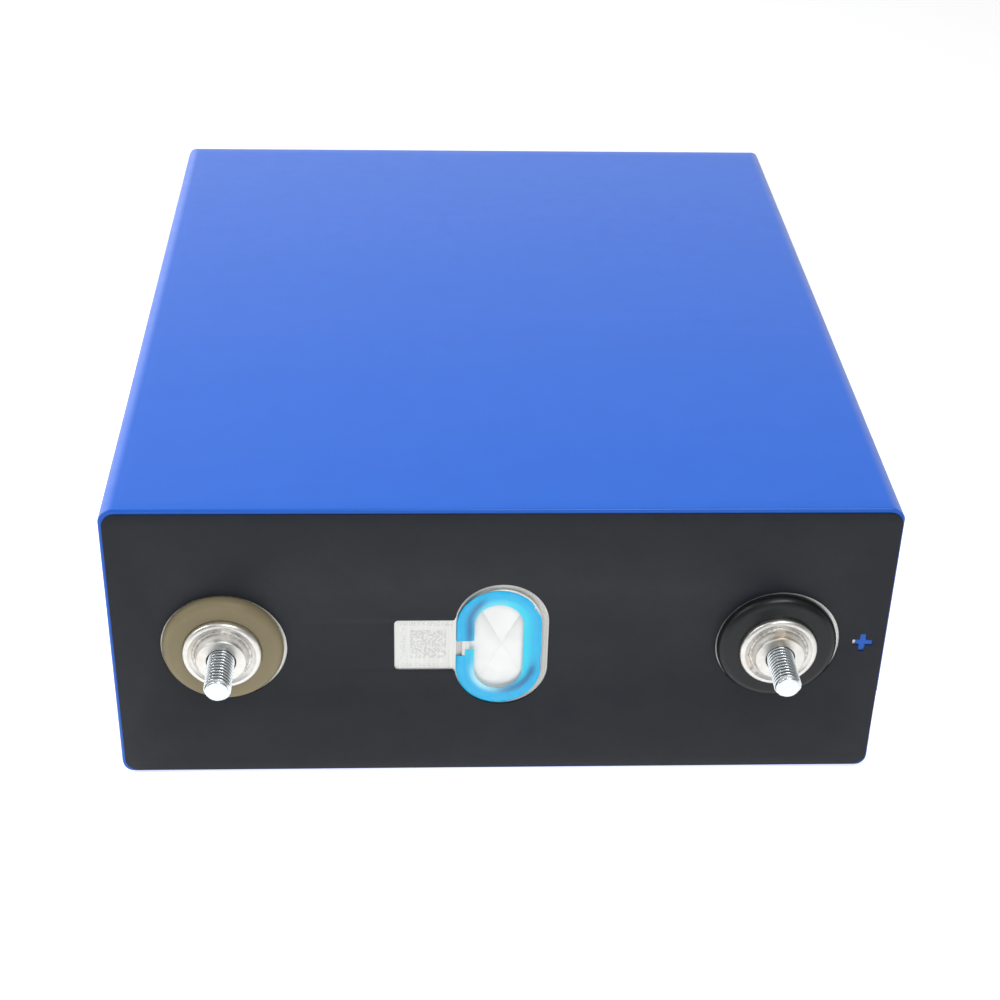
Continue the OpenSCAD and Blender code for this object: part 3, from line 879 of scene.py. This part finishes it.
def cover_plate():
    """Lid with its weld step, terminal holes, fill hole and the trough and seat of the vent, with
    painted shade stored for the trough's floor.
    """
    low, high = box_mm("fill_cap")
    cap, stopper = (circle(((low.x + high.x) / 2, 0), half_width(name))
                    for name in ("fill_cap", "fill_stopper"))
    full = rounded_rect(lid_high.x - lid_low.x, lid_high.z - lid_low.z,
                        EDGE_R - FILM_T - CAN_WALL)
    inner = grown(full, -WELD_STEP)
    outer = [(inner, LID_FRONT), (inner, LID_FRONT + WELD_STEP), (full, LID_FRONT + WELD_STEP),
             (full, LID_BACK)]
    holes = [[(circle((x, 0), TERMINAL_HOLE_R), y) for y in (LID_FRONT, LID_BACK)]
             for x in AXIS_X.values()]
    holes.append([(cap, LID_FRONT), (cap, high.y), (stopper, high.y), (stopper, LID_BACK)])
    seat = stadium(VENT_SEAT_W, VENT_SEAT_H)
    opening = stadium(VENT_HOLE_W, VENT_HOLE_H)
    trough = stadium(VENT_CUT_W - 2 * TROUGH_GAP, VENT_CUT_H - 2 * TROUGH_GAP)
    holes.append([(grown(trough, -inset), LID_FRONT + depth) for inset, depth in TROUGH]
                 + [(grown(seat, SEAT_BEVEL), LID_FRONT), (seat, LID_FRONT + SEAT_BEVEL),
                    (seat, DISC_BACK), (opening, DISC_BACK), (opening, LID_BACK)])
    lid = add_piece("lid_plate", *plate([outer] + holes), "lid_metal", "cover_plate", sharp=25)
    # Painted shade on the trough's floor, greyed in the lid's material
    store(lid, "ring_press_and_painted_trough_shade", painted_trough_shade_amount)


def guard_point(rho, station):
    """Place on the vent film, at distance rho from its upright middle line. station goes from 0
    to 1, clockwise from the middle of the left-hand side."""
    along = station * GUARD_LENGTH
    for part, length in (("rise", GUARD_RUN), ("top", 2 * GUARD_QUARTER), ("fall", 2 * GUARD_RUN),
                         ("foot", 2 * GUARD_QUARTER), ("last rise", GUARD_RUN)):
        if along <= length or part == "last rise":
            break
        along -= length
    turn = math.pi * along / length
    x, z = {"rise": (-rho, along),
            "top": (-rho * math.cos(turn), GUARD_RUN + rho * math.sin(turn)),
            "fall": (rho, GUARD_RUN - along),
            "foot": (rho * math.cos(turn), -GUARD_RUN - rho * math.sin(turn)),
            "last rise": (-rho, along - GUARD_RUN)}[part]
    return GUARD_AT[0] + x, GUARD_AT[1] + z


def torn(station):
    """How much of the film's outer edge is missing, in millimetres."""
    here = (station - TEAR_FROM) / (TEAR_TO - TEAR_FROM)
    if not 0 <= here <= 1:
        return 0.0
    ragged = 0.55 + 1.2 * noise.noise(Vector((station * 700, 3.0, 0)))
    deep = 0.75 if here < 0.4 else 0.35
    return deep * math.sin(math.pi * here) ** 0.3 * max(ragged, 0)


def seat_depth(x, z):
    return slot_depth(VENT_SEAT_W, VENT_SEAT_H, x, z)


def guard_height(rho, x, z):
    """Height of the film's front face over the lid, from its pressed rings and its sag. rho is
    the distance from the film's own middle line, and (x, z) the place on the lid."""
    ring_press_and_painted_trough_shade = sum(height * bell(rho - at, wide) for at, wide, height in GUARD_RINGS)
    down = ramp(seat_depth(x, z), 0.1, 2.1)
    return GUARD_T + ring_press_and_painted_trough_shade - GUARD_SAG * down * down * (3 - 2 * down)


def painted_sag_reflection_amount(x, z):
    """Painted reflection on the vent film: from 0 where it is stuck down to 1 where it sags over
    the seat, with a lighter painted patch beside the gap's step.
    """
    hung = 0.75 * ramp(seat_depth(x, z), -0.6, 1.8)
    beside_gap = GUARD_AT[0] - GAP_STEP_R < x < -GUARD_WINDOW_R
    return min(hung + (0.8 * bell(z + 1.6, 1.5) if beside_gap else 0), 1)


def painted_glow_amount(x, z):
    """Painted highlight at the film's inner edge, a pale glow: strong at the lower left, faint at
    the top.
    """
    rho = math.hypot(x - GUARD_AT[0], max(abs(z - GUARD_AT[1]) - GUARD_RUN, 0))
    angle = math.atan2(z, x - GUARD_AT[0])
    return sum(strength * bell(angle - at, spread) * bell(rho - middle, wide)
               for at, spread, middle, wide, strength in GUARD_PAINTED_GLOW)


def painted_slope_shade_amount(x, z):
    """Painted shade where the film bends down into the seat, most at the lower right."""
    lower_right = ramp((0.6 + x / 5.0) * (-z - 4.0), 0, 6)
    return bell(seat_depth(x, z) - 0.1, 0.9) * (0.04 + 0.90 * lower_right)


def guard_ring():
    """Cyan film round the vent: open on the left, torn at the upper right."""
    across = [GUARD_WINDOW_R + (GUARD_R - GUARD_WINDOW_R) * i / 26 for i in range(27)]
    first = GAP_TOP / GUARD_LENGTH
    steps = 420
    verts = []
    for layer in (0, GUARD_T - 0.02):
        for i in range(steps + 1):
            for rho in across:
                foot = GAP_FOOT if rho > GAP_STEP_R else GAP_FOOT + GAP_STEP
                station = first + (1 + foot / GUARD_LENGTH - first) * i / steps
                r = min(rho, GUARD_R - torn(station) - (GUARD_R - rho) * 0.02)
                x, z = guard_point(r, station)
                verts.append((x, LID_FRONT - guard_height(r, x, z) + layer, MID_Z + z))
    faces = slab_faces(steps + 1, len(across))
    ring = add_piece("vent_guard_ring", verts, faces, "guard_blue", "vent_film_ring")
    # The film's painted reflection, painted shade and painted highlight, stored for its material
    for name, value_at in (("free", painted_sag_reflection_amount), ("painted_slope_shade", painted_slope_shade_amount), ("painted_glow", painted_glow_amount)):
        store(ring, name, value_at)


def guard_window():
    """Clear part of the same film, over the ring and across the window."""
    verts, faces = [], []
    radii = [9.2 - 0.18 * i for i in range(21)] + [4.6, 3.2, 1.6, 0.4]
    steps = 160
    rows = []
    for lift in (CLEAR_T * 0.8, 0):
        for rho in radii:
            rows.append(len(verts))
            for i in range(steps):
                x, z = guard_point(rho, i / steps)
                y = LID_FRONT - guard_height(rho, x, z) - CLEAR_LIFT - lift
                verts.append((x, y, MID_Z + z))
    half = len(radii)
    for k in range(half - 1):
        faces += strip(rows[k], rows[k + 1], steps)
        faces += strip(rows[half + k], rows[half + k + 1], steps)
    faces += strip(rows[0], rows[half], steps)
    for start in (rows[half - 1], rows[-1]):
        faces.append(tuple(range(start, start + steps)))
    add_piece("vent_guard_window", verts, faces, "guard_clear", "vent_film_window")


def fold_distance(x, z):
    """Distance of a point from the nearer of the disc's two diagonal folds."""
    diagonal = math.atan2(VENT_HOLE_H, VENT_HOLE_W)
    return min(abs(z * math.cos(diagonal) - x * math.sin(diagonal)),
               abs(z * math.cos(diagonal) + x * math.sin(diagonal)))


def painted_fold_shade_amount(x, z):
    """Painted shade and reflection on the disc: grey along the folds and on the side facets, most
    in their upper corners.
    """
    beside = abs(x) / VENT_HOLE_W > abs(z) / VENT_HOLE_H
    away = fold_distance(x, z)
    fold_line_shade = 0.12 * bell(away, 0.14)
    upper = min(max(0.25 + z / 9.0, 0.06), 1)
    return fold_line_shade + (0.42 * upper * math.exp(-away / 2.2) if beside else 0)


def vent_disc():
    """Burst disc: four shallow facets that meet in a cross, with a scored line along each fold."""
    half_w, half_h = VENT_SEAT_W / 2, VENT_SEAT_H / 2
    run = half_h - half_w
    columns, rows = 72, 128
    verts = []

    def height(x, z):
        fall_side = abs(x) / (VENT_HOLE_W / 2)
        fall_end = abs(z) / (VENT_HOLE_H / 2)
        slope = max(0.0, 1 - max(fall_side, fall_end))
        score = DISC_SCORE * bell(fold_distance(x, z), 0.16) if slope > 0 else 0
        return DISC_RISE * slope - score

    for face_y in (DISC_FRONT, DISC_BACK):
        for i in range(rows + 1):
            z = -half_h + 2 * half_h * i / rows
            over = max(0.0, abs(z) - run)
            wide = math.sqrt(max(half_w ** 2 - over ** 2, 0.0001))
            for j in range(columns + 1):
                x = wide * (2 * j / columns - 1)
                verts.append((x, min(face_y - height(x, z), DISC_BACK), MID_Z + z))
    faces = slab_faces(rows + 1, columns + 1)
    disc = add_piece("vent_burst_disc", verts, faces, "vent_metal", "vent_disc", sharp=60)
    # Painted shade and reflection, stored for the disc's material
    store(disc, "painted_fold_shade", painted_fold_shade_amount)


# ---- Terminals ----

def insulator_ring(side):
    """Ring with a round outer rim. The pad sits in its recess."""
    profile = round_corners(
        [(POST_R, 0), (RING_R, 0), (RING_R, RING_H), (PAD_R + 0.05, RING_H),
         (PAD_R + 0.05, RING_FLOOR), (POST_R, RING_FLOOR)], [0, 0.1, RING_ROUND, 0.15, 0, 0], 16)
    slot = "ring_black" if side == "positive" else "ring_tan"
    add_piece(side + "_ring", *lathe(profile, side, 160), slot, side + "_insulator_ring")


def stain_amount(spots, x, z):
    """Darkness of a point's burn marks, from 0 to 1, for (x, z, radius, strength) spots."""
    return max(strength * bell(math.hypot(x - spot_x, z - spot_z), radius)
               for spot_x, spot_z, radius, strength in spots)


def add_stains(piece, side):
    """Stores a pad's or boss's burn marks and heat tint."""
    for name, spots in (("stain", STAINS[side]), ("tint", TINTS[side])):
        store(piece, name, lambda x, z: stain_amount(spots, x - AXIS_X[side], z))


def pad(side):
    """Round pad: upright wall, soft rim, and a dish that falls to the weld."""
    dish = PAD_H - PAD_DISH
    outline = [(POST_R, RING_FLOOR), (PAD_R, RING_FLOOR), (PAD_R, PAD_H), (PAD_R - PAD_RIM, PAD_H),
               (PAD_R - PAD_RIM - 0.3, dish + 0.18), (WELD_R + 0.25, dish), (WELD_R, dish - 0.1),
               (WELD_R, BOSS_SEAT), (POST_R, BOSS_SEAT)]
    profile = round_corners(outline, [0, 0.1, PAD_ROUND, 0.3, 0.3, 0.1, 0, 0, 0], 10)
    fine = []
    for i, point in enumerate(profile):
        fine.append(point)
        following = profile[(i + 1) % len(profile)]
        gap = math.dist(point, following)
        if gap > 0.5:
            fine += subdivide(point, following, int(gap / 0.25))
    piece = add_piece(side + "_pad_disc", *lathe(fine, side, 200), "terminal_metal", side + "_pad")
    add_stains(piece, side)


def stud_base(side):
    """Low boss with a sloped flank, a soft shoulder and a countersunk hole."""
    outline = [(BOSS_HOLE_R, BOSS_SEAT), (BOSS_FOOT_R, BOSS_SEAT),
               (BOSS_FOOT_R - 0.12, BOSS_SEAT + 0.7), (BOSS_TOP_R, BOSS_H),
               (BOSS_HOLE_R + 0.15, BOSS_H), (BOSS_HOLE_R, BOSS_H - 0.15)]
    profile = round_corners(outline, [0, 0, 0.5, 0.3, 0.05, 0.05], 8)
    mesh = lathe(profile, side, 160)
    add_stains(add_piece(side + "_boss", *mesh, "terminal_metal", side + "_stud_base"), side)


def base_weld(side):
    """Rippled bead round the foot of the boss."""
    top = PAD_H - PAD_DISH + 0.2
    seed = 11.0 if side == "positive" else 47.0

    def ripple(radius, height, angle):
        rise = max(0.0, height - (top - 0.35)) / 0.35
        beat = 0.5 + 0.5 * math.cos(WELD_RIPPLES * angle + 2.2 * radius)
        uneven = noise.noise(Vector((4 * math.cos(angle), 4 * math.sin(angle), seed)))
        return radius, height - rise * (0.04 * beat + 0.06 * (0.5 + uneven))

    outline = [(BOSS_FOOT_R - 0.1, BOSS_SEAT + 0.05), (WELD_R, BOSS_SEAT + 0.05),
               (WELD_R, top - 0.3), (WELD_R - 0.22, top - 0.05), (WELD_R - 0.45, top),
               (BOSS_FOOT_R - 0.05, top - 0.1), (BOSS_FOOT_R - 0.25, top - 0.35)]
    mesh = lathe(outline, side, 352, ripple)
    add_piece(side + "_weld_bead", *mesh, "weld_metal", side + "_base_weld", sharp=60)


def thread_depth(height, angle):
    """Depth below the crest at a point of a right-hand metric thread."""
    phase = (height / THREAD_PITCH + angle / (2 * math.pi)) % 1
    flank = abs(phase - 0.5) * 2
    return THREAD_DEPTH * ramp(-flank, -0.86, -0.18)


def shade_grooves(piece, side):
    """Stores painted shade at each vertex of a stud, from how deep it lies in its thread, from 0 to
    1, and 0 on the tip.
    """
    layer = piece.data.attributes.new("groove", "FLOAT", "POINT")
    for i, vertex in enumerate(piece.data.vertices):
        x, y, z = vertex.co / MM
        depth = (STUD_R - math.hypot(x - AXIS_X[side], z - MID_Z)) / THREAD_DEPTH
        on_tip = LID_FRONT - y >= STUD_H - STUD_CHAMFER
        layer.data[i].value = 0 if on_tip else ramp(depth, 0.25, 0.55)


def stud(side):
    """M6 stud: helical thread, chamfered and slightly crowned tip."""
    rows = int((STUD_H - BOSS_SEAT) / (THREAD_PITCH / 20))
    profile = [(STUD_R, BOSS_SEAT + (STUD_H - BOSS_SEAT) * i / rows) for i in range(rows + 1)]
    tip_r = STUD_R - STUD_CHAMFER
    profile += [(tip_r - 0.1, STUD_H - 0.02), (tip_r - 0.35, STUD_H), (0.9, STUD_H)]

    def threaded(radius, height, angle):
        if radius < STUD_R:
            return radius, height
        chamfered = STUD_R - max(0.0, height - (STUD_H - STUD_CHAMFER))
        crest = min(radius - thread_depth(height, angle), chamfered)
        return crest, min(height, STUD_H - STUD_CROWN)

    mesh = capped_lathe(profile, side, 90, threaded)
    piece = add_piece(side + "_threaded_stud", *mesh, "stud_steel", side + "_stud", sharp=50)
    shade_grooves(piece, side)


# ---- Camera, floor and light ----

CAMERA_AT = (-0.0209, -0.4422, 0.2897)
CAMERA_HEADING, CAMERA_TILT, CAMERA_ROLL = 3.30, 32.29, 1.65
CAMERA_LENS = 68.08


def set_camera():
    """Camera at the place, heading and tilt that were fitted to the reference view."""
    yaw, pitch, roll = (math.radians(a) for a in (CAMERA_HEADING, CAMERA_TILT, CAMERA_ROLL))
    ahead = Vector((math.sin(yaw) * math.cos(pitch), math.cos(yaw) * math.cos(pitch),
                    -math.sin(pitch)))
    level = Vector((math.cos(yaw), -math.sin(yaw), 0))
    upright = level.cross(ahead)
    right = math.cos(roll) * level + math.sin(roll) * upright
    up = math.cos(roll) * upright - math.sin(roll) * level
    data = bpy.data.cameras.new("camera")
    data.sensor_width = 36
    data.lens = CAMERA_LENS
    data.clip_start = 0.01
    data.clip_end = 20
    camera = bpy.data.objects.new("camera", data)
    axes = Matrix((right, up, -ahead)).transposed()
    camera.matrix_world = Matrix.Translation(CAMERA_AT) @ axes.to_4x4()
    bpy.context.scene.collection.objects.link(camera)
    bpy.context.scene.camera = camera


def set_floor():
    """Pale floor just under the cell. It glows faintly near the cell, as a light table does."""
    mesh = bpy.data.meshes.new("floor")
    far, low = 6.0, -0.00005
    corners = [(-far, -far, low), (far, -far, low), (far, far, low), (-far, far, low)]
    mesh.from_pydata(corners, [], [(0, 1, 2, 3)])
    material, shader = new_material("floor", (0.78, 0.78, 0.785), 0.6, specular=0.2)
    shader.inputs["Emission Color"].default_value = (1, 1, 1, 1)
    place = node(material, "TexCoord")
    distance = node(material, "VectorMath")
    distance.operation = "LENGTH"
    link(material, place.outputs["Object"], distance.inputs[0])
    link(material, mapped(material, distance.outputs["Value"], 0.10, 0.20, 0.80, 0.22),
         shader.inputs["Emission Strength"])
    material.cycles.emission_sampling = "NONE"
    mesh.materials.append(material)
    floor = bpy.data.objects.new("floor", mesh)
    bpy.context.scene.collection.objects.link(floor)


def add_light(name, place, aim, size, power):
    """Rectangular lamp at a place, turned towards another one. All in metres and watts."""
    data = bpy.data.lights.new(name, "AREA")
    data.shape = "RECTANGLE"
    data.size, data.size_y = size
    data.energy = power
    light = bpy.data.objects.new(name, data)
    light.location = place
    light.rotation_euler = (Vector(aim) - Vector(place)).to_track_quat("-Z", "Y").to_euler()
    bpy.context.scene.collection.objects.link(light)


def set_world():
    """Soft room: a bright band low behind the cell and another one overhead, both weaker towards
    the front and the right, and a weaker glow straight in front."""
    world = bpy.data.worlds.new("studio")
    bpy.context.scene.world = world
    world.use_nodes = True
    background = world.node_tree.nodes["Background"]
    background.inputs["Color"].default_value = (1, 1, 1, 1)
    direction = node(world, "TexCoord")
    axes = node(world, "SeparateXYZ")
    link(world, direction.outputs["Generated"], axes.inputs[0])
    low = mapped(world, axes.outputs["Z"], 0.32, 0.54, 1.35, 0.10)
    above = mapped(world, axes.outputs["Z"], 0.55, 0.66, 0.0, 0.9)
    front = mapped(world, axes.outputs["Y"], -0.95, -0.80, 0.75, 0.0)
    behind = mapped(world, axes.outputs["Y"], -0.4, 0.5, 0.10, 1.0)
    across = mapped(world, axes.outputs["X"], -0.3, 0.3, 1.3, 0.85)
    backdrop = maths(world, "MULTIPLY", maths(world, "ADD", low, above), behind)
    strength = maths(world, "ADD", maths(world, "MULTIPLY", backdrop, across), front)
    link(world, maths(world, "ADD", strength, 0.10), background.inputs["Strength"])


def set_light():
    """The room, with a small lamp in front and a large one on the left."""
    set_world()
    add_light("front", (0.20, -0.60, 0.90), (0.0, -0.05, 0.03), (0.46, 0.22), 3.6)
    add_light("left", (-0.9, 0.15, 0.8), (0, 0, 0.03), (0.9, 0.7), 9.0)
    bpy.context.scene.view_settings.view_transform = "Standard"


paint_cad_nodes()
set_camera()
set_floor()
set_light()
wrap_film()
base_film()
lid_sheet()
cover_plate()
vent_disc()
guard_ring()
guard_window()
for side_name in AXIS_X:
    insulator_ring(side_name)
    pad(side_name)
    stud_base(side_name)
    base_weld(side_name)
    stud(side_name)
